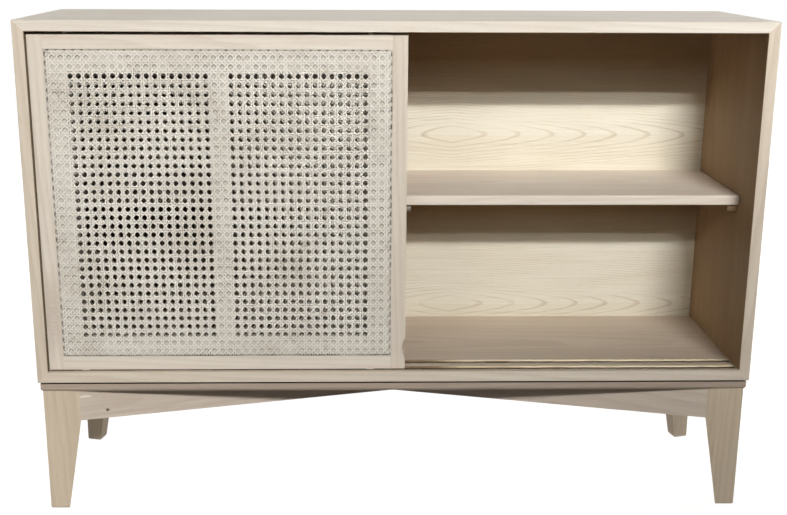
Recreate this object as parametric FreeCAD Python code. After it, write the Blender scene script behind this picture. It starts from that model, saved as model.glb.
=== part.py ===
import FreeCAD, Part
import math
import os

# Record cabinet with two sliding cane doors on a base with crossed braces.
# Millimetres, +Z up, front towards -Y, origin on the floor under the middle of the cabinet.

V = FreeCAD.Vector

# Overall size
cabinet_width = 1430.0
cabinet_depth = 386.0
cabinet_height = 990.0
base_height = 278.0

# Box boards
side_thickness = 22.0
top_thickness = 21.0
bottom_thickness = 22.0
divider_thickness = 22.0
arris = 1.0
housing_depth = 5.0
divider_setback = 80.0

# Back panel, held in a groove
back_thickness = 6.0
back_inset = 21.0
back_groove_depth = 7.0
back_clearance = 0.5

# Shelves and their pins
shelf_thickness = 20.0
shelf_height = 342.0
shelf_setback = 84.0
shelf_end_gap = 1.5
shelf_back_gap = 1.0
shelf_round = 3.0
pin_radius = 8.0
pin_projection = 20.0
pin_seat = 11.0
pin_front_inset = 17.0
pin_rear_inset = 40.0
pin_clearance = 0.05

# Doors
door_thickness = 18.0
door_overlap = 36.0
door_setback = 13.0
door_pitch = 37.0
door_side_gap = 0.5
door_top_gap = 5.7
door_bottom_gap = 1.5
stile_width = 29.0
rail_width = 27.5
cane_recess = 2.5
cane_thickness = 2.0
cane_edge_gap = 1.5
mullion_width = 29.5
window_side_margin = 40.5
window_end_margin = 40.5
stub_thickness = 7.0
stub_height = 14.0
stub_length = 10.0

# Cane, drawn as a coarse net of eight-sided gaps in each window
cane_columns = 5
cane_rows = 11
cane_gap_share = 0.62
cane_corners = 8

# Finger pull, a hollow in the edge of each right stile
pull_length = 44.0
pull_depth = 6.6
pull_height = 43.0

# Channels that the doors run in
track_wall = 1.2
track_end_gap = 0.5
lower_track_width = 18.0
lower_track_height = 3.7
upper_track_width = 12.4
upper_track_height = 10.0

# Glides under the doors and guide pins on top of them
glide_radius = 7.5
glide_gap = 0.2
stem_width = 6.0
guide_radius = 4.6
guide_reach = 5.0
stem_length = 13.0
runner_inset = 70.0

# Base board with a shadow quirk above and a bevel below
board_thickness = 20.0
board_inset = 4.0
quirk_height = 3.5
quirk_depth = 14.0
bevel_height = 5.0
bevel_depth = 3.5

# Legs and crossed braces, cut from boards of one thickness
brace_thickness = 34.0
brace_height = 65.5
leg_face_width = 51.0
leg_band_width = 20.6
leg_foot_width = 37.5
foot_round = 4.5
brace_tenon_thickness = 12.0
brace_tenon_shoulder = 9.0
brace_tenon_length = 22.0
leg_tenon_length = 28.0
leg_tenon_height = 12.0
leg_tenon_shoulder = 16.0

# Open nail hole on the front of one brace
nail_hole_radius = 2.2
nail_hole_depth = 6.0
nail_hole_from_leg = 56.5
nail_hole_above_edge = 17.5

# Screws
screw_radius = 2.5
screw_head_radius = 5.0
screw_head_height = 3.0
screw_clearance = 0.05
base_screw_bite = 14.0
base_screw_x_share = 0.25
base_screw_inset = 40.0

overrun = 5.0
same_place = 0.01

# Places that follow from the sizes above
half_width = cabinet_width / 2
front_y = -cabinet_depth / 2
rear_y = cabinet_depth / 2
inner_x = half_width - side_thickness
floor_z = base_height + bottom_thickness
ceiling_z = cabinet_height - top_thickness
back_y = rear_y - back_inset - back_thickness
shelf_z = floor_z + shelf_height - shelf_thickness
front_door_y = front_y + door_setback + door_thickness / 2
rear_door_y = front_door_y + door_pitch

door_width = inner_x + door_overlap / 2
door_left = door_side_gap - inner_x
door_right = door_left + door_width
door_bottom = floor_z + door_bottom_gap
door_top = ceiling_z - door_top_gap
opening_left = door_left + stile_width
opening_right = door_right - stile_width
opening_bottom = door_bottom + rail_width
opening_top = door_top - rail_width
door_middle = (door_left + door_right) / 2

board_bottom = base_height - board_thickness
brace_bottom = board_bottom - brace_height
leg_x = half_width - board_inset - bevel_depth
leg_y = rear_y - board_inset - bevel_depth


def brace_angle():
    """Turn of the braces at which their front face meets the inner end of the legs' front face."""
    across = leg_x - leg_face_width
    reach = math.hypot(across, leg_y)
    return math.acos(brace_thickness / 2 / reach) - math.atan2(across, leg_y)


turn = brace_angle()
along = V(math.cos(turn), math.sin(turn), 0)
square = V(-math.sin(turn), math.cos(turn), 0)
face_end = V(leg_face_width - leg_x, -leg_y, 0)
foot_end = V(leg_foot_width - leg_x, -leg_y, 0)
shoulder_reach = -face_end.dot(along) - leg_band_width
foot_reach = -foot_end.dot(along)


def span(middle, width):
    return (middle - width / 2, middle + width / 2)


def block(x, y, z):
    return Part.makeBox(x[1] - x[0], y[1] - y[0], z[1] - z[0], V(x[0], y[0], z[0]))


def prism(points, sweep):
    return Part.Face(Part.makePolygon(points + points[:1])).extrude(sweep)


def rod(start, direction, length, radius):
    return Part.makeCylinder(radius, length, start, direction)


def mirrored(shape, normal):
    return shape.mirror(V(0, 0, 0), normal)


def edges_on(shape, axes):
    """Edges that lie at all the given coordinates, such as {1: front_y, 2: cabinet_height}."""
    found = []
    for edge in shape.Edges:
        ends = [v.Point for v in edge.Vertexes]
        if all(abs(p[axis] - place) < same_place for p in ends for axis, place in axes.items()):
            found.append(edge)
    return found


def pin_places():
    front = front_y + shelf_setback + pin_front_inset
    rear = back_y - pin_rear_inset
    return [(y, shelf_z - pin_radius - pin_clearance) for y in (front, rear)]


def mitred_board(*corners):
    """Board of the box with mitred ends, from its corners seen from the front."""
    board = prism([V(x, front_y, z) for x, z in corners], V(0, cabinet_depth, 0))
    box_x = (-half_width, half_width)
    whole = block(box_x, (front_y, rear_y), (base_height, cabinet_height))
    return board.common(whole.makeChamfer(arris, whole.Edges))


def back_groove():
    reach = inner_x + back_groove_depth
    low = floor_z - back_groove_depth
    high = ceiling_z + back_groove_depth
    return block((-reach, reach), (back_y, back_y + back_thickness), (low, high))


def left_side():
    board = mitred_board((-half_width, base_height), (-inner_x, floor_z),
                         (-inner_x, ceiling_z), (-half_width, cabinet_height))
    cuts = [back_groove()]
    for y, z in pin_places():
        start = V(-inner_x - pin_seat, y, z)
        cuts.append(rod(start, V(1, 0, 0), pin_seat + overrun, pin_radius + pin_clearance))
    return board.cut(cuts)


def divider_housing(z):
    return block(span(0, divider_thickness), (front_y + divider_setback, back_y), z)


def track_groove(middle_y, width, z):
    return block((-inner_x, inner_x), span(middle_y, width), z)


def top_panel():
    board = mitred_board((-half_width, cabinet_height), (-inner_x, ceiling_z),
                         (inner_x, ceiling_z), (half_width, cabinet_height))
    depth = (ceiling_z, ceiling_z + upper_track_height)
    cuts = [track_groove(y, upper_track_width, depth) for y in (front_door_y, rear_door_y)]
    cuts.append(divider_housing((ceiling_z, ceiling_z + housing_depth)))
    cuts.append(back_groove())
    return board.cut(cuts).removeSplitter()


def bottom_panel():
    board = mitred_board((-half_width, base_height), (half_width, base_height),
                         (inner_x, floor_z), (-inner_x, floor_z))
    depth = (floor_z - lower_track_height, floor_z)
    cuts = [track_groove(y, lower_track_width, depth) for y in (front_door_y, rear_door_y)]
    cuts.append(divider_housing((floor_z - housing_depth, floor_z)))
    cuts.append(back_groove())
    for x, y in base_screw_places():
        cuts.append(rod(V(x, y, base_height - overrun), V(0, 0, 1), base_screw_bite + overrun,
                        screw_radius + screw_clearance))
    return board.cut(cuts).removeSplitter()


def back_panel():
    reach = inner_x + back_groove_depth - back_clearance
    low = floor_z - back_groove_depth + back_clearance
    high = ceiling_z + back_groove_depth - back_clearance
    return block((-reach, reach), (back_y, back_y + back_thickness), (low, high))


def center_divider():
    board = divider_housing((floor_z - housing_depth, ceiling_z + housing_depth))
    cuts = []
    for y, z in pin_places():
        for side in (-1, 1):
            start = V(side * (divider_thickness / 2 + overrun), y, z)
            depth = pin_seat / 2 + overrun
            cuts.append(rod(start, V(-side, 0, 0), depth, pin_radius + pin_clearance))
    return board.cut(cuts)


def right_shelf():
    ends = (divider_thickness / 2 + shelf_end_gap, inner_x - shelf_end_gap)
    shelf_front = front_y + shelf_setback
    shelf = block(ends, (shelf_front, back_y - shelf_back_gap), (shelf_z, shelf_z + shelf_thickness))
    arrises = []
    for z in (shelf_z, shelf_z + shelf_thickness):
        arrises += edges_on(shelf, {1: shelf_front, 2: z})
    return shelf.makeFillet(shelf_round, arrises)


def shelf_pins():
    pins = []
    for y, z in pin_places():
        for side in (-1, 1):
            outer = V(side * (inner_x + pin_seat), y, z)
            pins.append(rod(outer, V(-side, 0, 0), pin_seat + pin_projection, pin_radius))
            inner = V(side * (divider_thickness - pin_seat) / 2, y, z)
            pins.append(rod(inner, V(side, 0, 0), pin_seat / 2 + pin_projection, pin_radius))
    return Part.makeCompound(pins)


def channel(middle_y, width, open_z, floor_of_channel_z):
    """Thin channel along the width, open at open_z and closed at the other height."""
    reach = inner_x - track_end_gap
    low, high = sorted((open_z, floor_of_channel_z))
    outside = block((-reach, reach), span(middle_y, width), (low, high))
    web = math.copysign(track_wall, open_z - floor_of_channel_z)
    hollow_z = sorted((floor_of_channel_z + web, open_z + math.copysign(overrun, web)))
    hollow_x = (-reach - overrun, reach + overrun)
    return outside.cut(block(hollow_x, span(middle_y, width - 2 * track_wall), hollow_z))


def lower_track(middle_y):
    return channel(middle_y, lower_track_width, floor_z, floor_z - lower_track_height)


def upper_track(middle_y):
    return channel(middle_y, upper_track_width, ceiling_z, ceiling_z + upper_track_height)


def rectangle(inset, z):
    """Outline of the base board at a height, set in from the outside of the box."""
    x = half_width - inset
    y = rear_y - inset
    corners = [V(-x, -y, z), V(x, -y, z), V(x, y, z), V(-x, y, z)]
    return Part.makePolygon(corners + corners[:1])


def base_board():
    face_low = board_bottom + bevel_height
    face_high = base_height - quirk_height
    bevel = Part.makeLoft([rectangle(board_inset + bevel_depth, board_bottom),
                           rectangle(board_inset, face_low)], True, True)
    face = Part.Face(rectangle(board_inset, face_low)).extrude(V(0, 0, face_high - face_low))
    quirk = Part.Face(rectangle(board_inset + quirk_depth, face_high)).extrude(V(0, 0, quirk_height))
    board = bevel.fuse([face, quirk]).removeSplitter()
    up = V(0, 0, 1)
    cuts = [screw(V(x, y, board_bottom), up, board_thickness, screw_clearance)
            for x, y in base_screw_places()]
    for tenons in (leg_tenon(), mirrored(leg_tenon(), V(1, 0, 0))):
        cuts += [tenons, mirrored(tenons, V(0, 1, 0))]
    return board.cut(cuts)


def screw(head, direction, length, clearance):
    """Countersunk screw whose flat head is at the given point, or its hole with a clearance."""
    radius = screw_radius + clearance
    head_radius = screw_head_radius + clearance
    cone = Part.makeCone(head_radius, radius, screw_head_height, head, direction)
    return cone.fuse(rod(head, direction, length, radius)).removeSplitter()


def base_screw_places():
    x = cabinet_width * base_screw_x_share
    y = rear_y - board_inset - base_screw_inset
    return [(column * x, row * y) for column in (-1, 1) for row in (-1, 1)]


def base_screws():
    length = board_thickness + base_screw_bite
    return Part.makeCompound([screw(V(x, y, board_bottom), V(0, 0, 1), length, 0)
                              for x, y in base_screw_places()])


def bar(reach, thickness, z):
    """Straight bar in line with the brace from the front left leg, over spans of length and height."""
    half = thickness / 2
    corners = [along * reach[a] + square * (b * half) + V(0, 0, z[0])
               for a, b in ((0, -1), (1, -1), (1, 1), (0, 1))]
    return prism(corners, V(0, 0, z[1] - z[0]))


def brace_tenon():
    reach = shoulder_reach + brace_tenon_length
    z = (brace_bottom + brace_tenon_shoulder, board_bottom - brace_tenon_shoulder)
    return bar((-reach, reach), brace_tenon_thickness, z)


def leg_tenon():
    """Stub tenon on top of the front left leg, let into the base board."""
    near = -shoulder_reach - leg_tenon_shoulder
    z = (board_bottom, board_bottom + leg_tenon_height)
    return bar((near - leg_tenon_length, near), brace_tenon_thickness, z)


def leg_front_left():
    """Leg with two faces in line with the box and three in line with the brace, tapered inside."""
    half = brace_thickness / 2
    inner_front = along * -shoulder_reach - square * half
    inner_rear = along * -shoulder_reach + square * half
    slide = (inner_rear.x + leg_x) / along.x
    side_rear = inner_rear - along * slide
    plan = [V(-leg_x, -leg_y, 0), face_end, inner_front, inner_rear, side_rear]
    leg = prism(plan, V(0, 0, board_bottom))
    wide = square * (brace_thickness + overrun)
    inner_end = along * -shoulder_reach
    taper = [inner_end + V(0, 0, brace_bottom), along * -foot_reach, inner_end]
    leg = leg.cut(prism([point - wide / 2 for point in taper], wide))
    leg = leg.makeFillet(foot_round, edges_on(leg, {2: 0}))
    return leg.fuse(leg_tenon()).cut(brace_tenon()).removeSplitter()


def brace_bar():
    board = bar((-shoulder_reach, shoulder_reach), brace_thickness, (brace_bottom, board_bottom))
    return board.fuse(brace_tenon()).removeSplitter()


def half_lap(z):
    """The other brace's share of the crossing, over the given heights."""
    other = mirrored(brace_bar(), V(0, 1, 0))
    reach = brace_thickness / math.sin(turn)
    return other.common(block((-reach, reach), (-reach, reach), z))


def brace_from_left():
    middle = brace_bottom + brace_height / 2
    place = along * (nail_hole_from_leg - shoulder_reach) - square * (brace_thickness / 2 + overrun)
    place.z = brace_bottom + nail_hole_above_edge
    nail_hole = rod(place, square, nail_hole_depth + overrun, nail_hole_radius)
    lap = half_lap((middle, board_bottom))
    return brace_bar().cut([lap, nail_hole])


def brace_from_right():
    middle = brace_bottom + brace_height / 2
    lap = half_lap((brace_bottom, middle))
    return mirrored(brace_bar().cut(lap), V(0, 1, 0))


def finger_pull(middle_y):
    radius = ((pull_length / 2) ** 2 + pull_depth ** 2) / (2 * pull_depth)
    start = V(door_right + radius - pull_depth, middle_y - door_thickness, door_bottom + pull_height)
    return rod(start, V(0, 1, 0), 2 * door_thickness, radius)


def rail_stubs(middle_y, z):
    reach = (opening_left - stub_length, opening_right + stub_length)
    return block(reach, span(middle_y, stub_thickness), span(z, stub_height))


def runner_places():
    return (door_left + runner_inset, door_right - runner_inset)


def stem(x, middle_y, z):
    return block(span(x, stem_width), span(middle_y, stem_width), z)


def door_frame(middle_y):
    depth = span(middle_y, door_thickness)
    height = (door_bottom, door_top)
    low_middle = door_bottom + rail_width / 2
    high_middle = door_top - rail_width / 2
    bottom_stub = rail_stubs(middle_y, low_middle)
    top_stub = rail_stubs(middle_y, high_middle)
    left = block((door_left, opening_left), depth, height)
    right = block((opening_right, door_right), depth, height)
    low = block((opening_left, opening_right), depth, (door_bottom, opening_bottom)).fuse(bottom_stub)
    high = block((opening_left, opening_right), depth, (opening_top, door_top)).fuse(top_stub)
    low_stems = [stem(x, middle_y, (door_bottom, door_bottom + stem_length)) for x in runner_places()]
    high_stems = [stem(x, middle_y, (door_top - stem_length, door_top)) for x in runner_places()]
    return {
        "left_stile": left.cut([bottom_stub, top_stub]),
        "right_stile": right.cut([finger_pull(middle_y), bottom_stub, top_stub]),
        "bottom_rail": low.removeSplitter().cut(low_stems),
        "top_rail": high.removeSplitter().cut(high_stems),
    }


def windows():
    """The two openings behind the cane, as spans of x and one span of z."""
    left = (opening_left + window_side_margin, door_middle - mullion_width / 2)
    right = (door_middle + mullion_width / 2, opening_right - window_side_margin)
    return (left, right), (opening_bottom + window_end_margin, opening_top - window_end_margin)


def door_inner_frame(middle_y):
    (left, right), height = windows()
    depth = span(middle_y, door_thickness - 2 * cane_recess)
    full = (opening_bottom, opening_top)
    between = (left[0], right[1])
    return {
        "inner_left": block((opening_left, left[0]), depth, full),
        "inner_right": block((right[1], opening_right), depth, full),
        "inner_bottom": block(between, depth, (opening_bottom, height[0])),
        "inner_top": block(between, depth, (height[1], opening_top)),
        "mullion": block((left[1], right[0]), depth, height),
    }


def eight_sides(x, y, z, width):
    step = 2 * math.pi / cane_corners
    radius = width / 2 / math.cos(step / 2)
    turns = [step * (k + 1 / 2) for k in range(cane_corners)]
    points = [V(x + radius * math.cos(a), y, z + radius * math.sin(a)) for a in turns]
    return Part.makePolygon(points + points[:1])


def door_cane(middle_y):
    """Cane sheet as one holed face, given its thickness."""
    back = middle_y - door_thickness / 2 + cane_recess
    x = (opening_left + cane_edge_gap, opening_right - cane_edge_gap)
    z = (opening_bottom + cane_edge_gap, opening_top - cane_edge_gap)
    corners = [V(x[a], back, z[b]) for a, b in ((0, 0), (1, 0), (1, 1), (0, 1))]
    outlines = [Part.makePolygon(corners + corners[:1])]
    fields, height = windows()
    step_z = (height[1] - height[0]) / cane_rows
    for field in fields:
        step_x = (field[1] - field[0]) / cane_columns
        gap = min(step_x, step_z) * cane_gap_share
        for column in range(cane_columns):
            for row in range(cane_rows):
                center_x = field[0] + step_x * (column + 1 / 2)
                center_z = height[0] + step_z * (row + 1 / 2)
                outlines.append(eight_sides(center_x, back, center_z, gap))
    return Part.Face(outlines, "Part::FaceMakerBullseye").extrude(V(0, -cane_thickness, 0))


def door_runners(middle_y):
    up = V(0, 0, 1)
    glide_low = floor_z - lower_track_height + track_wall + glide_gap
    guide_high = ceiling_z + guide_reach
    glides = []
    guides = []
    for x in runner_places():
        shoe = rod(V(x, middle_y, glide_low), up, door_bottom - glide_low, glide_radius)
        glides.append(shoe.fuse(stem(x, middle_y, (door_bottom, door_bottom + stem_length))))
        pin = rod(V(x, middle_y, door_top), up, guide_high - door_top, guide_radius)
        guides.append(pin.fuse(stem(x, middle_y, (door_top - stem_length, door_top))))
    return {"glides": Part.makeCompound(glides), "guides": Part.makeCompound(guides)}


def door(prefix, middle_y):
    pieces = door_frame(middle_y)
    pieces.update(door_inner_frame(middle_y))
    pieces.update(door_runners(middle_y))
    pieces["cane"] = door_cane(middle_y)
    return {prefix + "_" + name: shape for name, shape in pieces.items()}


def box():
    left = left_side()
    shelf = right_shelf()
    across = V(1, 0, 0)
    return {
        "left_side": left,
        "right_side": mirrored(left, across),
        "top_panel": top_panel(),
        "bottom_panel": bottom_panel(),
        "back_panel": back_panel(),
        "center_divider": center_divider(),
        "left_shelf": mirrored(shelf, across),
        "right_shelf": shelf,
        "shelf_pins": shelf_pins(),
        "lower_track_front": lower_track(front_door_y),
        "lower_track_rear": lower_track(rear_door_y),
        "upper_track_front": upper_track(front_door_y),
        "upper_track_rear": upper_track(rear_door_y),
    }


def base():
    leg = leg_front_left()
    across = V(1, 0, 0)
    inward = V(0, 1, 0)
    return {
        "base_board": base_board(),
        "leg_front_left": leg,
        "leg_front_right": mirrored(leg, across),
        "leg_rear_left": mirrored(leg, inward),
        "leg_rear_right": mirrored(mirrored(leg, across), inward),
        "brace_from_left": brace_from_left(),
        "brace_from_right": brace_from_right(),
        "base_screws": base_screws(),
    }


def main():
    os.makedirs("parts", exist_ok=True)
    pieces = box()
    pieces.update(base())
    pieces.update(door("front_door", front_door_y))
    pieces.update(door("rear_door", rear_door_y))
    for name, shape in pieces.items():
        if not shape.isValid():
            print("not valid:", name)
        shape.exportStep("parts/" + name + ".step")
    print(len(pieces), "pieces, brace turn", round(math.degrees(turn), 2), "degrees")


main()
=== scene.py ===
import math
import random

import bmesh
import bpy
from mathutils import Matrix, Vector


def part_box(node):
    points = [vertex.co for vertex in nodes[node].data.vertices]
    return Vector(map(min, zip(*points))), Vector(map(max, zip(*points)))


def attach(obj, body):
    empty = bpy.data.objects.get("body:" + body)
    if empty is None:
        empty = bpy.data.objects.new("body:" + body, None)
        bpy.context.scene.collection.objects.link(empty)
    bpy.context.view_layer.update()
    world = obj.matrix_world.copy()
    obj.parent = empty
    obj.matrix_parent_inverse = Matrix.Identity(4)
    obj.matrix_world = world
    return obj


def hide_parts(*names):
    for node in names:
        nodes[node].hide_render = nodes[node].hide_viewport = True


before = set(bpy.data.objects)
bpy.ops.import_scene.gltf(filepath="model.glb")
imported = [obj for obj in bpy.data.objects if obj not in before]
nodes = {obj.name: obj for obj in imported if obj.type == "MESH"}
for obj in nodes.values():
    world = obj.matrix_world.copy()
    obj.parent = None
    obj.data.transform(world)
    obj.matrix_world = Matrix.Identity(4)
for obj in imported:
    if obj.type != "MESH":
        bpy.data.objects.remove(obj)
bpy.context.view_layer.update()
scene = bpy.context.scene
scene.view_settings.view_transform = "Standard"


# Camera, worked out for a picture of 787 by 515

photoView = {
    "width": 787, "height": 515, "sensor": 36.0,
    "focal": 1160.76,  # in pixels
    "centerX": 376.15, "centerY": 255.91,  # where the lens axis meets the picture
    "place": (-0.0895, -2.381, 1.120),
    "pitch": 14.856, "yaw": -1.2206, "roll": 0.2435,
}


def placeCamera(view):
    turn = Matrix.Rotation(math.radians(view["pitch"]), 3, "X")
    turn = turn @ Matrix.Rotation(math.radians(view["yaw"]), 3, "Y")
    turn = turn @ Matrix.Rotation(math.radians(view["roll"]), 3, "Z")
    # the angles count y downwards and z ahead
    right, down, ahead = [Vector((row[0], row[2], -row[1])) for row in turn]
    lens = bpy.data.cameras.new("photoCamera")
    lens.sensor_fit = "HORIZONTAL"
    lens.sensor_width = view["sensor"]
    lens.lens = view["focal"] / view["width"] * view["sensor"]
    lens.shift_x = (view["width"] / 2 - view["centerX"]) / view["width"]
    lens.shift_y = (view["centerY"] - view["height"] / 2) / view["width"]
    camera = bpy.data.objects.new("photoCamera", lens)
    axes = Matrix((right, -down, -ahead)).transposed()
    camera.matrix_world = Matrix.Translation(view["place"]) @ axes.to_4x4()
    scene.collection.objects.link(camera)
    scene.camera = camera


placeCamera(photoView)
print("camera placed")


# Shader helpers

mixSockets = {"factor": 0, "first": 6, "second": 7, "result": 2}  # the colour sockets of a Mix node


def addNode(tree, kind, inputs=None, **settings):
    node = tree.nodes.new(kind)
    for name, value in settings.items():
        setattr(node, name, value)
    for name, value in (inputs or {}).items():
        if isinstance(value, bpy.types.NodeSocket):
            tree.links.new(value, node.inputs[name])
        else:
            node.inputs[name].default_value = value
    return node


def doMath(tree, operation, first, second=0.0, third=0.0):
    node = addNode(tree, "ShaderNodeMath", {0: first, 1: second, 2: third}, operation=operation)
    return node.outputs[0]


def stretched(tree, vector, scale):
    node = addNode(tree, "ShaderNodeVectorMath", {0: vector, 1: scale}, operation="MULTIPLY")
    return node.outputs[0]


def axesOf(tree, vector):
    return addNode(tree, "ShaderNodeSeparateXYZ", {0: vector}).outputs


def noiseOn(tree, vector, detail, roughness=0.55):
    values = {"Vector": vector, "Scale": 1.0, "Detail": detail, "Roughness": roughness}
    return addNode(tree, "ShaderNodeTexNoise", values).outputs["Fac"]


def remap(tree, value, low, high, toLow=0.0, toHigh=1.0, smooth=False):
    kind = "SMOOTHSTEP" if smooth else "LINEAR"
    values = {"Value": value, "From Min": low, "From Max": high, "To Min": toLow, "To Max": toHigh}
    return addNode(tree, "ShaderNodeMapRange", values, interpolation_type=kind).outputs["Result"]


def mixColor(tree, factor, first, second, blend="MIX"):
    values = {mixSockets["factor"]: factor, mixSockets["first"]: first, mixSockets["second"]: second}
    node = addNode(tree, "ShaderNodeMix", values, data_type="RGBA", blend_type=blend)
    return node.outputs[mixSockets["result"]]


def newGroup(name, inputs, outputs):
    group = bpy.data.node_groups.new(name, "ShaderNodeTree")
    kinds = {"value": "NodeSocketFloat", "vector": "NodeSocketVector", "color": "NodeSocketColor"}
    for label, kind in inputs:
        group.interface.new_socket(label, in_out="INPUT", socket_type=kinds[kind])
    for label, kind in outputs:
        group.interface.new_socket(label, in_out="OUTPUT", socket_type=kinds[kind])
    start = group.nodes.new("NodeGroupInput").outputs
    end = group.nodes.new("NodeGroupOutput").inputs
    return group, start, end


def fillGroup(tree, group, inputs):
    return addNode(tree, "ShaderNodeGroup", inputs, node_tree=group).outputs


def newMaterial(name, sockets):
    material = bpy.data.materials.new(name)
    material.use_nodes = True
    tree = material.node_tree
    shader = tree.nodes["Principled BSDF"]
    for label, value in sockets.items():
        shader.inputs[label].default_value = value
    return material, tree, shader


def objectPlace(tree):
    return addNode(tree, "ShaderNodeTexCoord").outputs["Object"]


def wireShader(tree, shader, color, rough, height, look):
    values = {"Height": height, "Strength": look["bump"], "Distance": look["bumpDepth"]}
    bump = addNode(tree, "ShaderNodeBump", values)
    tree.links.new(color, shader.inputs["Base Color"])
    tree.links.new(rough, shader.inputs["Roughness"])
    tree.links.new(bump.outputs[0], shader.inputs["Normal"])


# Patchy masks, for wear and dirt and for breaking up painted shade, on wood, nylon and cane

def patchGroup():
    group, start, end = newGroup(
        "patches",
        [("Vector", "vector"), ("Stretch", "vector"), ("Detail", "value"),
         ("From", "value"), ("To", "value"), ("Least", "value")],
        [("Mask", "value")])
    noise = noiseOn(group, stretched(group, start["Vector"], start["Stretch"]), start["Detail"])
    mask = remap(group, noise, start["From"], start["To"], start["Least"], 1.0)
    group.links.new(mask, end["Mask"])
    return group


patches = patchGroup()


def patchMask(tree, place, look):
    return fillGroup(tree, patches, {"Vector": place, **look})["Mask"]


# Wood: growth rings round a pith, fibres along the board, and the limed finish over both.
# Every board's vector runs x along the grain, y across the face and z through the board.

ringShape = {
    "bend": (2.2, 14.0, 14.0), "bendDetail": 2.0, "bendMiddle": 0.5,
    "crest": 0.90, "drop": 0.91,  # where a ring is darkest, and where it starts to fade
}
fibreLayers = {  # stretch, detail, where the noise starts to count and where it counts in full
    "Tone": ((0.9, 14.0, 14.0), 3.0, 0.34, 0.66),
    "Streak": ((4.0, 190.0, 190.0), 4.0, 0.36, 0.70),
    "Pore": ((38.0, 900.0, 900.0), 2.0, 0.56, 0.76),
}
fibreRoughness = 0.6
smudgeLook = {"stretch": (3.1, 3.1, 3.1), "detail": 5.0, "roughness": 0.62, "from": 0.40, "to": 0.72}
boardShares = {
    "streak": 0.22, "pore": 0.30, "smudge": 0.10,  # in the dark lines
    "poreRough": 0.16, "smudgeRough": 0.08,
    "poreDepth": -0.7, "streakDepth": -0.3,
}


def ringGroup(look):
    group, start, end = newGroup(
        "growthRings",
        [("Vector", "vector"), ("Arch", "value"), ("Spacing", "value"),
         ("Crown", "value"), ("Wander", "value"), ("Edge", "value")],
        [("Ring", "value")])
    axes = axesOf(group, start["Vector"])
    along = doMath(group, "DIVIDE", doMath(group, "ABSOLUTE", axes["X"]), start["Arch"])
    radius = doMath(group, "MULTIPLY", axes["Y"], axes["Y"])
    radius = doMath(group, "MULTIPLY_ADD", axes["Z"], axes["Z"], radius)
    radius = doMath(group, "MULTIPLY_ADD", start["Crown"], start["Crown"], radius)
    radius = doMath(group, "DIVIDE", doMath(group, "SQRT", radius), start["Spacing"])
    bend = noiseOn(group, stretched(group, start["Vector"], look["bend"]), look["bendDetail"])
    bend = doMath(group, "SUBTRACT", bend, look["bendMiddle"])
    bend = doMath(group, "MULTIPLY", bend, start["Wander"])
    phase = doMath(group, "ADD", doMath(group, "ADD", along, radius), bend)
    saw = doMath(group, "FRACT", phase)
    rise = remap(group, saw, start["Edge"], look["crest"], smooth=True)
    fall = remap(group, saw, look["drop"], 1.0, 1.0, 0.0, smooth=True)
    group.links.new(doMath(group, "MULTIPLY", rise, fall), end["Ring"])
    return group


def fibreGroup(layers):
    group, start, end = newGroup(
        "woodFibre", [("Vector", "vector")], [("Tone", "value"), ("Streak", "value"), ("Pore", "value")])
    for label, (scale, detail, low, high) in layers.items():
        noise = noiseOn(group, stretched(group, start["Vector"], scale), detail, fibreRoughness)
        group.links.new(remap(group, noise, low, high), end[label])
    return group


def smudgeGroup(look):
    group, start, end = newGroup("handling", [("Vector", "vector")], [("Smudge", "value")])
    cloud = stretched(group, start["Vector"], look["stretch"])
    cloud = noiseOn(group, cloud, look["detail"], look["roughness"])
    group.links.new(remap(group, cloud, look["from"], look["to"], smooth=True), end["Smudge"])
    return group


def boardGroup(rings, fibre, smudge, shares):
    group, start, end = newGroup(
        "limedBoard",
        [("Vector", "vector"), ("Pale", "color"), ("Tan", "color"), ("Line", "color"),
         ("Arch", "value"), ("Spacing", "value"), ("Crown", "value"), ("Wander", "value"),
         ("Edge", "value"), ("Figure", "value"), ("Gloss", "value")],
        [("Color", "color"), ("Roughness", "value"), ("Height", "value")])
    vector = start["Vector"]
    shared = ("Vector", "Arch", "Spacing", "Crown", "Wander", "Edge")
    ring = fillGroup(group, rings, {name: start[name] for name in shared})
    strands = fillGroup(group, fibre, {"Vector": vector})
    marks = fillGroup(group, smudge, {"Vector": vector})
    body = mixColor(group, strands["Tone"], start["Pale"], start["Tan"])
    figure = doMath(group, "MULTIPLY", ring["Ring"], start["Figure"])
    figure = doMath(group, "MULTIPLY_ADD", strands["Streak"], shares["streak"], figure)
    figure = doMath(group, "MULTIPLY_ADD", strands["Pore"], shares["pore"], figure)
    figure = doMath(group, "MULTIPLY_ADD", marks["Smudge"], shares["smudge"], figure)
    group.links.new(mixColor(group, figure, body, start["Line"]), end["Color"])
    rough = doMath(group, "MULTIPLY_ADD", strands["Pore"], shares["poreRough"], start["Gloss"])
    rough = doMath(group, "MULTIPLY_ADD", marks["Smudge"], shares["smudgeRough"], rough)
    group.links.new(rough, end["Roughness"])
    height = doMath(group, "MULTIPLY_ADD", strands["Pore"], shares["poreDepth"], 1.0)
    height = doMath(group, "MULTIPLY_ADD", strands["Streak"], shares["streakDepth"], height)
    group.links.new(height, end["Height"])
    return group


handling = smudgeGroup(smudgeLook)
limedBoard = boardGroup(ringGroup(ringShape), fibreGroup(fibreLayers), handling, boardShares)
print("wood groups built")


# Tones and finish of the boards

def oak(pale, tan, line):
    return {"Pale": (*pale, 1), "Tan": (*tan, 1), "Line": (*line, 1)}


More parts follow.
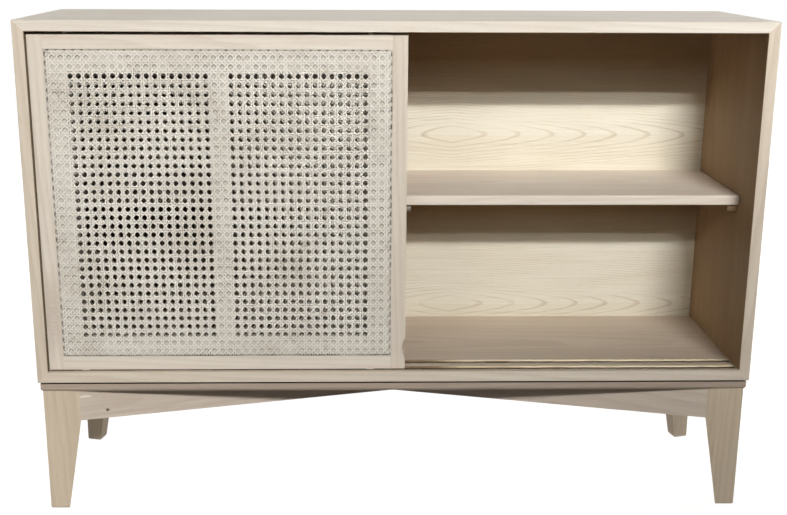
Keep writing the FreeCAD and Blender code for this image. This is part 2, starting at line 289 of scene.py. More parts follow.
edgeOak = oak((0.83, 0.775, 0.685), (0.76, 0.695, 0.595), (0.58, 0.48, 0.38))
topOak = oak((0.72, 0.66, 0.57), (0.655, 0.59, 0.495), (0.50, 0.41, 0.32))
paleOak = oak((0.79, 0.72, 0.62), (0.715, 0.63, 0.525), (0.54, 0.44, 0.34))
bottomOak = oak((0.80, 0.715, 0.60), (0.725, 0.63, 0.51), (0.55, 0.44, 0.33))
shelfOak = oak((0.90, 0.825, 0.73), (0.83, 0.735, 0.625), (0.62, 0.51, 0.40))
floorOak = oak((0.73, 0.635, 0.52), (0.655, 0.555, 0.445), (0.48, 0.375, 0.28))
sideOak = oak((0.755, 0.665, 0.545), (0.675, 0.575, 0.455), (0.505, 0.40, 0.295))
warmOak = oak((0.73, 0.615, 0.47), (0.65, 0.535, 0.395), (0.48, 0.37, 0.25))
greyOak = oak((0.715, 0.62, 0.52), (0.635, 0.54, 0.445), (0.45, 0.36, 0.28))
innerOak = oak((0.74, 0.70, 0.62), (0.66, 0.615, 0.53), (0.50, 0.44, 0.36))
pinOak = oak((0.37, 0.335, 0.29), (0.32, 0.285, 0.245), (0.24, 0.205, 0.17))
darkOak = oak((0.53, 0.435, 0.35), (0.455, 0.37, 0.295), (0.34, 0.26, 0.195))
# painted shade: a browner tone for the faces inside the cabinet, the divider and the far shelf pins
insideShadeOak = oak((0.42, 0.29, 0.175), (0.36, 0.24, 0.14), (0.26, 0.165, 0.09))
# painted shade for the groove over the base board
quirkShadeOak = oak((0.09, 0.07, 0.05), (0.07, 0.053, 0.038), (0.05, 0.037, 0.025))
# painted shadow for the gaps under and beside the doors
paintedGapShade = (0.12, 0.09, 0.06, 1)

boardFinish = {
    "Arch": 0.30, "Spacing": 0.008, "Crown": 0.03, "Wander": 2.2,
    "Edge": 0.25, "Figure": 0.20, "Gloss": 0.42,
    "bump": 0.25, "bumpDepth": 0.0004, "specular": 0.06,
}
topFinish = {**boardFinish, "specular": 0.20}
finishSockets = ("Arch", "Spacing", "Crown", "Wander", "Edge", "Figure", "Gloss")
grainTurns = {  # along the grain, across the face
    "flat": ((1, 0, 0), (0, 1, 0)),
    "front": ((1, 0, 0), (0, 0, 1)),
    "deep": ((0, 0, 1), (0, 1, 0)),
    "wide": ((0, 0, 1), (1, 0, 0)),
}

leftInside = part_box("left_side")[1].x
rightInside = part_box("right_side")[0].x
ceiling, top = [corner.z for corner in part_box("top_panel")]
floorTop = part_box("bottom_panel")[1].z
quirkHeight = 0.0035  # of the groove over the base board
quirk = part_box("base_board")[1].z - quirkHeight
shadedPins = 0.600  # painted shade on the shelf pins past here, at the right side
otherFaces = {  # a board's face with a tone of its own: axis, plane, the side where the rest lies, colours
    # the inside faces, the far shelf pins and the base board's groove take painted shade
    "left_side": [("X", leftInside, -1, insideShadeOak)],
    "right_side": [("X", rightInside, 1, insideShadeOak)],
    "top_panel": [("Z", ceiling, 1, insideShadeOak), ("Z", top, -1, topOak)],
    "bottom_panel": [("Z", floorTop, -1, floorOak)],
    # painted shade in the groove over the base board
    "base_board": [("Z", quirk, -1, quirkShadeOak)],
    "shelf_pins": [("X", shadedPins, -1, insideShadeOak)],
}
faceDepth = (0.0003, 0.0008)  # a face's own tone is full down to the first and ends at the second

gapShadeAhead = 0.0015  # from a channel's front to the middle of the painted shadow before it
channelFronts = [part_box(name)[0].y for name in ("lower_track_front", "lower_track_rear")]
boardMarks = {  # middle, stretch, where a mark is full and where it ends, tone
    # painted shadow of the doors, in front of each channel
    "bottom_panel": [
        ((0, front - gapShadeAhead, floorTop), (0, 1, 1), 0.0011, 0.0021, paintedGapShade)
        for front in channelFronts
    ],
    "left_side": [  # painted shade beside the front door's edge
        ((leftInside, -0.1855, 0), (1, 1, 0), 0.0055, 0.0072, paintedGapShade),
    ],
    "front_door_left_stile": [  # a darker patch low on the stile
        ((-0.677, -0.180, 0.42), (0.4, 1, 0.12), 0.002, 0.014, (0.62, 0.53, 0.44, 1)),
    ],
    "brace_from_left": [  # the nail hole, and a pale spot on the edge
        ((-0.585, -0.167, 0.210), (1, 1, 1), 0.0024, 0.0040, (0.10, 0.08, 0.06, 1)),
        ((-0.626, -0.1777, 0.243), (0.17, 0.17, 1), 0.0012, 0.0028, (0.86, 0.80, 0.70, 1)),
    ],
}
markPatches = {"Stretch": (70.0, 300.0, 300.0), "Detail": 3.0, "From": 0.30, "To": 0.55, "Least": 0.45}


def turnOf(along, across):
    along, across = Vector(along), Vector(across)
    return Matrix((along, across, along.cross(across))).to_euler("XYZ")


def faceGroup(depths):
    group, start, end = newGroup(
        "faceMask", [("Vector", "vector"), ("Inward", "vector"), ("Plane", "value")], [("Mask", "value")])
    values = {0: start["Vector"], 1: start["Inward"]}
    depth = addNode(group, "ShaderNodeVectorMath", values, operation="DOT_PRODUCT").outputs["Value"]
    depth = doMath(group, "SUBTRACT", depth, start["Plane"])
    group.links.new(remap(group, depth, *depths, 1.0, 0.0), end["Mask"])
    return group


def markGroup(blotches):
    group, start, end = newGroup(
        "boardMark",
        [("Vector", "vector"), ("Color", "color"), ("Middle", "vector"), ("Stretch", "vector"),
         ("Full", "value"), ("End", "value"), ("Tone", "color")],
        [("Color", "color")])
    values = {0: start["Vector"], 1: start["Middle"]}
    off = addNode(group, "ShaderNodeVectorMath", values, operation="SUBTRACT").outputs[0]
    off = stretched(group, off, start["Stretch"])
    far = addNode(group, "ShaderNodeVectorMath", {0: off}, operation="LENGTH").outputs["Value"]
    mask = remap(group, far, start["Full"], start["End"], 1.0, 0.0, smooth=True)
    mask = doMath(group, "MULTIPLY", mask, patchMask(group, start["Vector"], blotches))
    group.links.new(mixColor(group, mask, start["Color"], start["Tone"]), end["Color"])
    return group


faceMask = faceGroup(faceDepth)
boardMark = markGroup(markPatches)


def faceColors(tree, place, face, colors):
    axis, plane, inward, others = face
    way = [inward * float(axis == label) for label in "XYZ"]
    mask = fillGroup(tree, faceMask, {"Vector": place, "Inward": way, "Plane": plane * inward})["Mask"]
    return {label: mixColor(tree, mask, colors[label], others[label]) for label in colors}


def addMark(tree, place, color, mark):
    values = dict(zip(("Middle", "Stretch", "Full", "End", "Tone"), mark))
    return fillGroup(tree, boardMark, {"Vector": place, "Color": color, **values})["Color"]


def woodMaterial(name, turn, pith, colors, finish, faces=(), marks=(), crossing=None):
    material, tree, shader = newMaterial(name, {"Specular IOR Level": finish["specular"]})
    place = objectPlace(tree)
    for face in faces:
        colors = faceColors(tree, place, face, colors)
    mapped = addNode(tree, "ShaderNodeMapping", {"Vector": place, "Location": pith, "Rotation": turn})
    values = {label: finish[label] for label in finishSockets}
    board = fillGroup(tree, limedBoard, {"Vector": mapped.outputs[0], **colors, **values})
    color = board["Color"]
    for mark in marks:
        color = addMark(tree, place, color, mark)
    if crossing is not None:  # an inner frame, behind the weave
        color = fillGroup(tree, rimShade, {"Vector": place, "Color": color, "Crossing": crossing})["Color"]
    wireShader(tree, shader, color, board["Roughness"], board["Height"], finish)
    return material


def dress(node, material):
    for slot in nodes[node].material_slots:
        slot.material = material


braceTurn = math.radians(14.35)  # from the cabinet's width
boards = {}  # node: turn, colours
boards["top_panel"] = (grainTurns["flat"], edgeOak)
boards["bottom_panel"] = (grainTurns["flat"], bottomOak)
for name in ("left_shelf", "right_shelf"):
    boards[name] = (grainTurns["flat"], shelfOak)
for name in ("left_side", "right_side"):
    boards[name] = (grainTurns["deep"], sideOak)
boards["center_divider"] = (grainTurns["deep"], insideShadeOak)
boards["base_board"] = (grainTurns["front"], darkOak)
boards["shelf_pins"] = (grainTurns["flat"], pinOak)
for corner in ("front_left", "front_right", "rear_left", "rear_right"):
    boards["leg_" + corner] = (grainTurns["wide"], warmOak)
for side, sign in (("left", 1), ("right", -1)):
    along = (math.cos(braceTurn), sign * math.sin(braceTurn), 0)
    boards["brace_from_" + side] = ((along, (0, 0, 1)), greyOak)
for door in ("front_door_", "rear_door_"):
    for piece in ("left_stile", "right_stile"):
        boards[door + piece] = (grainTurns["wide"], paleOak)
    boards[door + "top_rail"] = (grainTurns["front"], paleOak)
    boards[door + "bottom_rail"] = (grainTurns["front"], edgeOak)

pithReach = {  # from a board's middle
    "along": (0.8, 1.6), "across": (-0.12, 0.12), "deep": (0.05, 0.12), "seed": 41,
}
draw = random.Random(pithReach["seed"])


def dressBoard(name, grain, colors, finish, **extras):
    turn = turnOf(*grain)
    low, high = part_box(name)
    middle = turn.to_matrix() @ ((low + high) / 2)
    deep = draw.choice((-1, 1)) * draw.uniform(*pithReach["deep"])
    pith = Vector((draw.uniform(*pithReach["along"]), draw.uniform(*pithReach["across"]), deep))
    dress(name, woodMaterial("oak_" + name, turn, pith - middle, colors, finish, **extras))


for name, (grain, colors) in boards.items():
    finish = topFinish if name == "top_panel" else boardFinish
    dressBoard(name, grain, colors, finish, faces=otherFaces.get(name, ()), marks=boardMarks.get(name, ()))
print("boards: %d materials" % len(boards))


# Back panel: slip-matched leaves of veneer, the same arches in each leaf

backVeneer = {
    "colors": oak((0.85, 0.815, 0.695), (0.80, 0.745, 0.605), (0.50, 0.395, 0.25)),
    "finish": {"Arch": 0.074, "Spacing": 0.005, "Crown": 0.040, "Wander": 1.3, "Edge": 0.70, "Gloss": 0.55},
    "figure": 0.46, "leastFigure": 0.069,  # the lines come and go between these
    "figurePatches": (5.0, 4.0, 16.0), "patchDetail": 2.0, "patchFrom": 0.36, "patchTo": 0.62,
    "leaf": 0.391, "eyeX": 0.136, "eyeZ": 0.721,  # a leaf's width, and the middle of its arches
    "bump": 0.15, "bumpDepth": 0.0003, "specular": 0.05,
    "veneerShade": (0.48, 0.36, 0.25, 1),  # painted shade, browner towards the top of each compartment, from and to
    "veneerShadeUpper": (0.780, 0.890), "veneerShadeLower": (0.470, 0.560),
    "veneerShadeLeft": (0.05, -0.05, 0.5),  # painted shade behind the doors as well: from, to, how much
    "veneerShadeDepth": 0.002,  # on the front of the panel alone
}


# painted shade under the top and the shelf, and behind the doors
def veneerShadeMask(tree, place, look):
    axes = axesOf(tree, place)
    shelfMiddle = sum(corner.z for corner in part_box("right_shelf")) / 2
    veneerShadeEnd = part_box("back_panel")[0].y + look["veneerShadeDepth"]
    lower = doMath(tree, "LESS_THAN", axes["Z"], shelfMiddle)
    lower = doMath(tree, "MULTIPLY", lower, remap(tree, axes["Z"], *look["veneerShadeLower"]))
    veneerShade = doMath(tree, "MAXIMUM", lower, remap(tree, axes["Z"], *look["veneerShadeUpper"]))
    start, end, share = look["veneerShadeLeft"]
    left = remap(tree, axes["X"], start, end, 0.0, share, smooth=True)
    front = doMath(tree, "LESS_THAN", axes["Y"], veneerShadeEnd)
    return doMath(tree, "MULTIPLY", doMath(tree, "MAXIMUM", veneerShade, left), front)


def veneerMaterial(look):
    material, tree, shader = newMaterial("backVeneer", {"Specular IOR Level": look["specular"]})
    place = objectPlace(tree)
    eye = (-look["eyeX"], -look["eyeZ"], 0)
    values = {"Vector": place, "Location": eye, "Rotation": turnOf(*grainTurns["front"])}
    axes = axesOf(tree, addNode(tree, "ShaderNodeMapping", values).outputs[0])
    across = doMath(tree, "WRAP", axes["Y"], look["leaf"] / 2, -look["leaf"] / 2)
    leaf = addNode(tree, "ShaderNodeCombineXYZ", {"X": axes["X"], "Y": across, "Z": 0.0}).outputs[0]
    cloud = noiseOn(tree, stretched(tree, place, look["figurePatches"]), look["patchDetail"])
    figure = remap(tree, cloud, look["patchFrom"], look["patchTo"], look["leastFigure"], look["figure"],
                   smooth=True)
    values = {"Vector": leaf, **look["colors"], **look["finish"], "Figure": figure}
    board = fillGroup(tree, limedBoard, values)
    color = mixColor(tree, veneerShadeMask(tree, place, look), board["Color"], look["veneerShade"], "MULTIPLY")
    wireShader(tree, shader, color, board["Roughness"], board["Height"], look)
    return material


dress("back_panel", veneerMaterial(backVeneer))
print("back veneer done")


# Metal and nylon

channelBrass = {
    "bright": (0.88, 0.81, 0.66, 1), "dull": (0.62, 0.53, 0.38, 1), "brush": (14.0, 900.0, 900.0),
    "doorShade": (0.34, 0.27, 0.18, 1), "doorShadeFull": 0.06, "doorShadeEnd": 0.16,  # painted shadow of the doors, darker towards the left
    "paintedShade": (0.06, 0.045, 0.03, 1),
    "paintedShadeFull": 0.0060, "paintedShadeEnd": 0.0078,  # painted shade on the channel floor as far as the rear wall, from a channel's middle
    "rough": 0.36, "roughMore": 0.25, "bump": 0.2, "bumpDepth": 0.0001,
}
screwSteel = {
    "bright": (0.60, 0.59, 0.57, 1), "dull": (0.34, 0.32, 0.30, 1), "brush": (260.0, 260.0, 900.0),
    "rough": 0.35, "roughMore": 0.30, "bump": 0.2, "bumpDepth": 0.0001,
}
metalWear = {"smudge": (6.0, 6.0, 6.0), "smudgeShare": 0.6, "brushDetail": 3.0, "brushShare": 0.35}
runnerNylon = {
    "pale": (0.80, 0.78, 0.72, 1), "worn": (0.52, 0.49, 0.43, 1),
    "scuff": {"Stretch": (600.0, 90.0, 90.0), "Detail": 3.0, "From": 0.5, "To": 0.75, "Least": 0.0},
    "scuffShare": 0.5, "smudge": (20.0, 20.0, 20.0), "smudgeShare": 0.4,
    "rough": 0.42, "roughMore": 0.22, "bump": 0.2, "bumpDepth": 0.0001,
}


def brushGroup(wear):
    group, start, end = newGroup(
        "brushedMetal",
        [("Vector", "vector"), ("Brush", "vector"), ("Bright", "color"), ("Dull", "color")],
        [("Color", "color"), ("Tarnish", "value"), ("Lines", "value")])
    marks = fillGroup(group, handling, {"Vector": stretched(group, start["Vector"], wear["smudge"])})
    lines = noiseOn(group, stretched(group, start["Vector"], start["Brush"]), wear["brushDetail"])
    tarnish = doMath(group, "MULTIPLY", marks["Smudge"], wear["smudgeShare"])
    tarnish = doMath(group, "MULTIPLY_ADD", lines, wear["brushShare"], tarnish)
    group.links.new(mixColor(group, tarnish, start["Bright"], start["Dull"]), end["Color"])
    group.links.new(tarnish, end["Tarnish"])
    group.links.new(lines, end["Lines"])
    return group


# painted shade: the doors' shadow towards the left, and shade on each channel's floor
def channelGroup(look):
    group, start, end = newGroup(
        "channelShade", [("Vector", "vector"), ("Color", "color"), ("Middle", "value")], [("Color", "color")])
    axes = axesOf(group, start["Vector"])
    off = doMath(group, "SUBTRACT", axes["Y"], start["Middle"])
    doorShade = remap(group, axes["X"], look["doorShadeFull"], look["doorShadeEnd"], 1.0, 0.0, smooth=True)
    paintedShade = remap(group, off, look["paintedShadeFull"], look["paintedShadeEnd"], 1.0, 0.0)
    body = mixColor(group, doorShade, start["Color"], look["doorShade"])
    group.links.new(mixColor(group, paintedShade, body, look["paintedShade"]), end["Color"])
    return group


brushedMetal = brushGroup(metalWear)
channelShade = channelGroup(channelBrass)


def metalMaterial(name, look, channelMiddle=None):
    material, tree, shader = newMaterial(name, {"Metallic": 1.0})
    place = objectPlace(tree)
    values = {"Vector": place, "Brush": look["brush"], "Bright": look["bright"], "Dull": look["dull"]}
    metal = fillGroup(tree, brushedMetal, values)
    color = metal["Color"]
    if channelMiddle is not None:
        values = {"Vector": place, "Color": color, "Middle": channelMiddle}
        color = fillGroup(tree, channelShade, values)["Color"]
    rough = doMath(tree, "MULTIPLY_ADD", metal["Tarnish"], look["roughMore"], look["rough"])
    wireShader(tree, shader, color, rough, metal["Lines"], look)
    return material


def nylonMaterial(look):
    material, tree, shader = newMaterial("runnerNylon", {})
    place = objectPlace(tree)
    marks = fillGroup(tree, handling, {"Vector": stretched(tree, place, look["smudge"])})
    scuffs = patchMask(tree, place, look["scuff"])
    wear = doMath(tree, "MULTIPLY", marks["Smudge"], look["smudgeShare"])
    wear = doMath(tree, "MULTIPLY_ADD", scuffs, look["scuffShare"], wear)
    body = mixColor(tree, wear, look["pale"], look["worn"])
    rough = doMath(tree, "MULTIPLY_ADD", wear, look["roughMore"], look["rough"])
    wireShader(tree, shader, body, rough, scuffs, look)
    return material


for name in ("lower_track_front", "lower_track_rear", "upper_track_front", "upper_track_rear"):
    low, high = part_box(name)
    dress(name, metalMaterial("brass_" + name, channelBrass, (low.y + high.y) / 2))
dress("base_screws", metalMaterial("screwSteel", screwSteel))
nylon = nylonMaterial(runnerNylon)
for door in ("front_door_", "rear_door_"):
    dress(door + "glides", nylon)
    dress(door + "guides", nylon)
print("metal and nylon done")


# Woven cane: pairs of uprights and crossers in plain weave, and two sets of diagonals laced through.
# Holes stand at half pitches; the front is towards -Y.

caneWeave = {
    "pitch": Vector((0.015843, 0, 0.017055)),
    "pairHalf": 0.0019,  # from the middle of a pair to a strand's middle
    "width": 0.0030, "diagonalWidth": 0.0024, "thick": 0.0005,
    "shift": Vector((-0.0018, 0, 0.0059)),  # a crossing of pairs, from the door's middle
    "rearShift": Vector((-0.0064, 0, -0.0086)),  # how far the rear door's weave is out of step
    "level": 0.36,  # share of a pitch that a diagonal stays level on at each stop
    "profile": ((-1.0, -0.5), (-0.62, 0.5), (0.62, 0.5), (1.0, -0.5)),  # half widths, thicknesses
    "squareAge": (0.35, 1.0), "diagonalAge": (0.0, 0.15),  # the diagonals are the palest strands
    "setStep": 100, "diagonalSet": 3,  # keeps the numbers of the sets of strands apart
    "scatter": (12.9898, 437.585),  # makes an age of a strand's number
}
canePale = {
    "pale": (0.91, 0.87, 0.785, 1), "tan": (0.54, 0.475, 0.38, 1), "dark": (0.40, 0.32, 0.22, 1),
    "ageShare": 0.40, "smudge": (2.4, 2.4, 2.4), "smudgeShare": 0.35,
    "joints": {"Stretch": (60.0, 60.0, 60.0), "Detail": 2.0, "From": 0.62, "To": 0.78, "Least": 0.0},
    "jointShare": 0.5,
    "paintedShade": (0.16, 0.13, 0.10, 1), "paintedShadeX": 0.0030, "paintedShadeZ": 0.0018,  # painted shade along the sheet's edges, where it meets the frame
    "paintedShadeFull": 1 / 3,  # share of that reach where it is full
    "paintedShadePatches": {"Stretch": (90.0, 90.0, 90.0), "Detail": 3.0, "From": 0.35, "To": 0.60, "Least": 0.3},
    "fibre": (700.0, 700.0, 700.0), "fibreDetail": 3.0, "specular": 0.4,
    "rough": 0.42, "roughMore": 0.25, "bump": 0.2, "bumpDepth": 0.0001,
}
innerRim = {  # shade on the inner frame behind the holes
    "tone": (0.20, 0.17, 0.14, 1), "drop": 0.0016, "from": 0.0049, "to": 0.0062,
    "patches": {"Stretch": (30.0, 30.0, 30.0), "Detail": 2.0, "From": 0.38, "To": 0.60, "Least": 0.2},
}


def rimGroup(rim, pitch):
    # each hole of the weave leaves a dark caret under its upper rim
    group, start, end = newGroup(
        "rimShade", [("Vector", "vector"), ("Color", "color"), ("Crossing", "vector")], [("Color", "color")])
    axes, crossing = axesOf(group, start["Vector"]), axesOf(group, start["Crossing"])
    off = []
    for axis, step, drop in (("X", pitch.x, 0.0), ("Z", pitch.z, rim["drop"])):
        along = doMath(group, "SUBTRACT", axes[axis], crossing[axis])
        along = doMath(group, "WRAP", along, step, 0.0)
        along = doMath(group, "SUBTRACT", along, step / 2 - drop)
        off.append(doMath(group, "ABSOLUTE", along))
    far = doMath(group, "ADD", *off)
    mask = remap(group, far, rim["from"], rim["to"], smooth=True)
    mask = doMath(group, "MULTIPLY", mask, patchMask(group, start["Vector"], rim["patches"]))
    group.links.new(mixColor(group, mask, start["Color"], rim["tone"]), end["Color"])
    return group


rimShade = rimGroup(innerRim, caneWeave["pitch"])


# painted shade along the edges of the sheet, where it meets the frame
def edgeShade(tree, place, look):
    low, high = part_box("front_door_cane")  # both sheets have the same x and z at rest
    axes = axesOf(tree, place)
    paintedShade = []
    for axis, index, reach in (("X", 0, look["paintedShadeX"]), ("Z", 2, look["paintedShadeZ"])):
        off = doMath(tree, "SUBTRACT", axes[axis], (low[index] + high[index]) / 2)
        off = doMath(tree, "ABSOLUTE", off)
        half = (high[index] - low[index]) / 2
        paintedShade.append(remap(tree, off, half - reach, half - reach * look["paintedShadeFull"]))
    paintedShade = doMath(tree, "MAXIMUM", *paintedShade)
    return doMath(tree, "MULTIPLY", paintedShade, patchMask(tree, place, look["paintedShadePatches"]))


def caneMaterial(look):
    material, tree, shader = newMaterial("bleachedCane", {"Specular IOR Level": look["specular"]})
    place = objectPlace(tree)
    strand = addNode(tree, "ShaderNodeAttribute", attribute_name="strandTone").outputs["Fac"]
    marks = fillGroup(tree, handling, {"Vector": stretched(tree, place, look["smudge"])})
    lines = noiseOn(tree, stretched(tree, place, look["fibre"]), look["fibreDetail"])
    age = doMath(tree, "MULTIPLY", strand, look["ageShare"])
    age = doMath(tree, "MULTIPLY_ADD", marks["Smudge"], look["smudgeShare"], age)
    body = mixColor(tree, age, look["pale"], look["tan"])
    joints = doMath(tree, "MULTIPLY", patchMask(tree, place, look["joints"]), look["jointShare"])
    body = mixColor(tree, joints, body, look["dark"])
    body = mixColor(tree, edgeShade(tree, place, look), body, look["paintedShade"])
    rough = doMath(tree, "MULTIPLY_ADD", lines, look["roughMore"], look["rough"])
    wireShader(tree, shader, body, rough, lines, look)
    return material


def strandAge(look, strand, ages):
    youngest, oldest = ages
    turn, spread = look["scatter"]
    return youngest + (oldest - youngest) * (math.sin(strand * turn) * spread % 1.0)


def startStrand(bm, place, sideways, width, look):
    ring = []
    for half, level in look["profile"]:
        corner = place + sideways * (half * width / 2) + Vector((0, -level * look["thick"], 0))
        ring.append(bm.verts.new(corner))
    return [bm.edges.new(pair) for pair in zip(ring, ring[1:] + ring[:1])]


def drawOn(bm, edges, ahead, places):
    for first, second in zip(places, places[1:]):
        made = bmesh.ops.extrude_edge_only(bm, edges=edges)["geom"]
        fresh = {part for part in made if isinstance(part, bmesh.types.BMVert)}
        edges = [part for part in made if isinstance(part, bmesh.types.BMEdge) and set(part.verts) <= fresh]
        bmesh.ops.translate(bm, verts=list(fresh), vec=ahead * (second - first))


def closeEnds(bm):
    cut = [edge for edge in bm.edges if edge.is_boundary]
    bmesh.ops.holes_fill(bm, edges=cut, sides=0)
    bmesh.ops.recalc_face_normals(bm, faces=bm.faces)


def layRow(bm, step, count):
    bmesh.ops.spin(bm, geom=bm.verts[:] + bm.edges[:] + bm.faces[:], axis=(0, 1, 0), cent=(0, 0, 0),
                   dvec=step, angle=0.0, steps=count, use_duplicate=True)


def joined(rows):
    whole = bmesh.new()
    carrier = bpy.data.meshes.new("weaveRow")
    for row in rows:
        row.to_mesh(carrier)
        row.free()
        whole.from_mesh(carrier)
    bpy.data.meshes.remove(carrier)
    return whole


def pairRow(look, across, along, low, high, over):
    # one pair of strands drawn from edge to edge, then laid again at every pitch
    bm = bmesh.new()
    tone = bm.verts.layers.float.new("strandTone")
    pitch, half = look["pitch"], look["pairHalf"]
    edge = half + look["width"] / 2
    first = math.ceil((low[across] + edge) / pitch[across])
    last = math.floor((high[across] - edge) / pitch[across])
    sideways = Vector([float(axis == across) for axis in range(3)])
    ahead = Vector([float(axis == along) for axis in range(3)])
    loops = []
    for side in (-1, 1):
        place = sideways * (first * pitch[across] + side * half) + ahead * low[along]
        loops += startStrand(bm, place, sideways, look["width"], look)
    start = math.floor(low[along] / pitch[along])
    count = math.ceil((high[along] - low[along]) / pitch[along]) + 2  # with one to spare at each end
    rows = range(start, start + count)
    places = [row * pitch[along] + step for row in rows for step in (-half, half, pitch[along] / 2)]
    places = [place for place in places if low[along] + half < place < high[along] - half]
    drawOn(bm, loops, ahead, [low[along], *places, high[along]])
    for vert in bm.verts:
        side = math.copysign(1, vert.co[across] - first * pitch[across])
        offset = vert.co[along] - round(vert.co[along] / pitch[along]) * pitch[along]
        if abs(offset) < 2 * half:
            vert.co.y -= over * side * math.copysign(look["thick"] / 2, offset)
    closeEnds(bm)
    layRow(bm, sideways * pitch[across], last - first)
    for vert in bm.verts:
        strand = 2 * vert.co[across] // pitch[across] + along * look["setStep"]
        vert[tone] = strandAge(look, strand, look["squareAge"])
    return bm


def squareWeave(look, low, high):
    uprights = pairRow(look, 0, 2, low, high, 1)
    crossers = pairRow(look, 2, 0, low, high, -1)
    return joined([uprights, crossers])


def diagonalRow(look, sign, low, high):
    # one strand drawn through all the columns, then laid again a row higher each time
    bm = bmesh.new()
    tone = bm.verts.layers.float.new("strandTone")
    wide, tall = look["pitch"].x, look["pitch"].z
    first, last = math.floor(low.x / wide * 2) - 1, math.ceil(high.x / wide * 2) + 1
    stops = [half / 2 + side * look["level"] / 2 for half in range(first, last + 1) for side in (-1, 1)]
    ends = [x / wide + sign * z / tall for x in (low.x, high.x) for z in (low.z, high.z)]
    line, lastLine = math.floor(min(ends)) - 0.5, math.ceil(max(ends)) + 0.5
    place = Vector((stops[0] * wide, 0, sign * (line - stops[0]) * tall))
    loop = startStrand(bm, place, Vector((tall, 0, sign * wide)).normalized(), look["diagonalWidth"], look)
    drawOn(bm, loop, Vector((wide, 0, -sign * tall)), stops)
    for vert in bm.verts:
        column = vert.co.x * wide - sign * vert.co.z * tall + tall * tall * line
        column /= wide * wide + tall * tall
        # over the crossers and under the uprights, or the other way
        over = 1 if round(column * 2) % 2 else -1
        vert.co.y -= sign * over * look["thick"]
    layRow(bm, Vector((0, 0, sign * tall)), round(lastLine - line))
    for vert in bm.verts:
        strand = round(vert.co.x / wide + sign * vert.co.z / tall - 0.5)
        strand += (look["diagonalSet"] + sign) * look["setStep"]
        vert[tone] = strandAge(look, strand, look["diagonalAge"])
    return bm


def diagonalWeave(look, low, high):
    bm = joined([diagonalRow(look, sign, low, high) for sign in (1, -1)])  # falling and rising strands
    for place, way in ((low, (-1, 0, 0)), (low, (0, 0, -1)), (high, (1, 0, 0)), (high, (0, 0, 1))):
        everything = bm.verts[:] + bm.edges[:] + bm.faces[:]
        bmesh.ops.bisect_plane(bm, geom=everything, plane_co=place, plane_no=way, clear_outer=True)
    closeEnds(bm)
    return bm


def caneSheet(door, shift, look, material):
    low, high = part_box(door + "_cane")
    middle, reach = (low + high) / 2 + shift, (high - low) / 2
    for label, weave in (("square", squareWeave), ("diagonal", diagonalWeave)):
        bm = weave(look, -reach - shift, reach - shift)
        for face in bm.faces:
            face.smooth = True
        mesh = bpy.data.meshes.new(door + "_cane_" + label)
        bm.to_mesh(mesh)
        bm.free()
        mesh.transform(Matrix.Translation(middle))
        mesh.materials.append(material)
        piece = bpy.data.objects.new(mesh.name, mesh)
        scene.collection.objects.link(piece)
        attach(piece, door)
        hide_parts(door + "_cane")
        print("%s: %d faces" % (piece.name, len(mesh.polygons)))


def dressInnerFrame(door, shift):
    low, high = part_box(door + "_cane")
    crossing = (low + high) / 2 + shift
    for piece in ("inner_left", "inner_right", "mullion"):
        dressBoard(door + "_" + piece, grainTurns["wide"], innerOak, boardFinish, crossing=crossing)
    for piece in ("inner_top", "inner_bottom"):
        dressBoard(door + "_" + piece, grainTurns["front"], innerOak, boardFinish, crossing=crossing)


cane = caneMaterial(canePale)
weaveShifts = {"front_door": caneWeave["shift"], "rear_door": caneWeave["shift"] + caneWeave["rearShift"]}
for door, shift in weaveShifts.items():
    caneSheet(door, shift, caneWeave, cane)
    dressInnerFrame(door, shift)
print("cane and inner frames done")


# Floor, sky and lamps

white = (1, 1, 1, 1)
floorLook = {"half": 9.0, "color": (0.14, 0.13, 0.12, 1), "rough": 0.9, "glow": 0.92}
sky = {"color": (1.0, 0.80, 0.60, 1), "strength": 0.022}
keyLamps = {  # far strips in front, which draw two steps of shadow on the back panel
    "lowKey": {
        "place": (2.45, -10.0, 5.19), "aim": (1.8, -0.19, 3.6),
        "wide": 3.0, "spread": 36.0, "watts": 85.0,
    },
    "topKey": {
        "place": (2.45, -10.0, 5.95), "aim": (1.8, -0.19, 3.6),
        "wide": 3.0, "spread": 36.0, "watts": 118.0,
    },
    "highKey": {
        "place": (2.45, -10.0, 5.90), "aim": (-3.65, -0.19, -1.2),
        "wide": 3.0, "spread": 46.8, "watts": 115.0,
    },
    "leftKey": {
        "place": (-4.9, -10.0, 5.90), "aim": (-2.4, -0.19, -2.1),
        "wide": 2.8, "spread": 66.0, "watts": 40.0,
    },
}
keyThin = 0.12
fillLamps = {  # soft light for the sides, the back and the top: middle, size, level
    "leftFill": ((-4.0, 1.2, 1.6), 1.2, 0.38),
    "rightFill": ((4.0, 1.2, 1.6), 1.2, 0.38),
    "backFill": ((0.0, 4.5, 0.45), 0.8, 0.55),
    "topFill": ((0.0, 0.6, 5.0), 4.0, 0.03),
}
fillAim = (0, 0, 0.5)


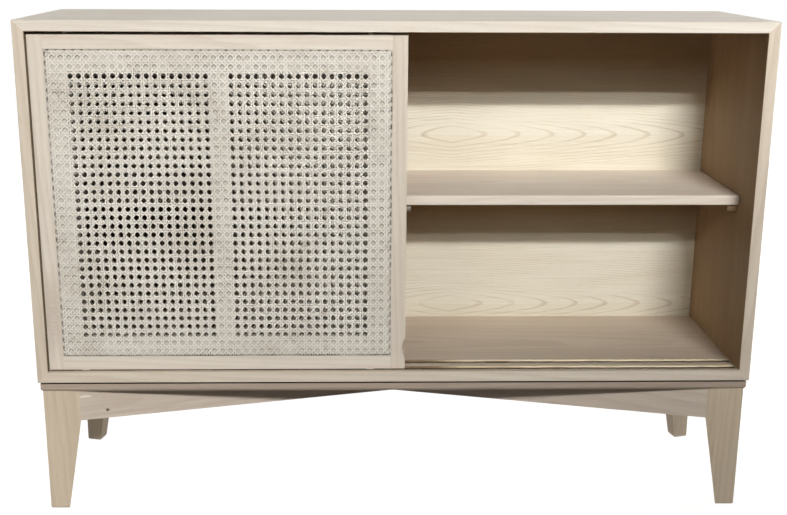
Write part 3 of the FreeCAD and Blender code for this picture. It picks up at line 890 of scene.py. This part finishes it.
def backdropMix(tree):
    # what the camera, and gloss or glass, see of the floor and the sky
    path = addNode(tree, "ShaderNodeLightPath").outputs
    seen = doMath(tree, "MAXIMUM", path["Is Camera Ray"], path["Is Glossy Ray"])
    return doMath(tree, "MAXIMUM", seen, path["Is Transmission Ray"])


def buildFloor(look):
    mesh = bpy.data.meshes.new("floor")
    bm = bmesh.new()
    bmesh.ops.create_grid(bm, x_segments=1, y_segments=1, size=look["half"])
    bm.to_mesh(mesh)
    bm.free()
    floor = bpy.data.objects.new("floor", mesh)
    scene.collection.objects.link(floor)
    material, tree, shader = newMaterial("paleFloor", {
        "Base Color": look["color"], "Roughness": look["rough"], "Emission Color": white})
    glow = doMath(tree, "MULTIPLY", backdropMix(tree), look["glow"])
    tree.links.new(glow, shader.inputs["Emission Strength"])
    mesh.materials.append(material)


def buildSky(look):
    world = bpy.data.worlds.new("studio")
    world.use_nodes = True
    tree = world.node_tree
    soft = tree.nodes["Background"]
    soft.inputs["Color"].default_value = look["color"]
    soft.inputs["Strength"].default_value = look["strength"]
    plain = addNode(tree, "ShaderNodeBackground", {"Color": white, "Strength": 1.0})
    values = {0: backdropMix(tree), 1: soft.outputs[0], 2: plain.outputs[0]}
    both = addNode(tree, "ShaderNodeMixShader", values)
    tree.links.new(both.outputs[0], tree.nodes["World Output"].inputs["Surface"])
    scene.world = world


def addLamp(name, place, aim, **settings):
    lamp = bpy.data.lights.new(name, "AREA")
    for label, value in settings.items():
        setattr(lamp, label, value)
    holder = bpy.data.objects.new(name, lamp)
    way = Vector(aim) - Vector(place)
    holder.matrix_world = Matrix.Translation(place) @ way.to_track_quat("-Z", "Y").to_matrix().to_4x4()
    scene.collection.objects.link(holder)


def lightUp():
    for name, look in keyLamps.items():
        addLamp(name, look["place"], look["aim"], energy=look["watts"], shape="RECTANGLE",
                size=look["wide"], size_y=keyThin, spread=math.radians(look["spread"]))
    for name, (place, size, level) in fillLamps.items():
        # watts that give the level at the cabinet from any distance
        far = (Vector(fillAim) - Vector(place)).length
        addLamp(name, place, fillAim, energy=level * (math.pi * far) ** 2, size=size)


buildFloor(floorLook)
buildSky(sky)
lightUp()
print("floor, sky and lamps done")
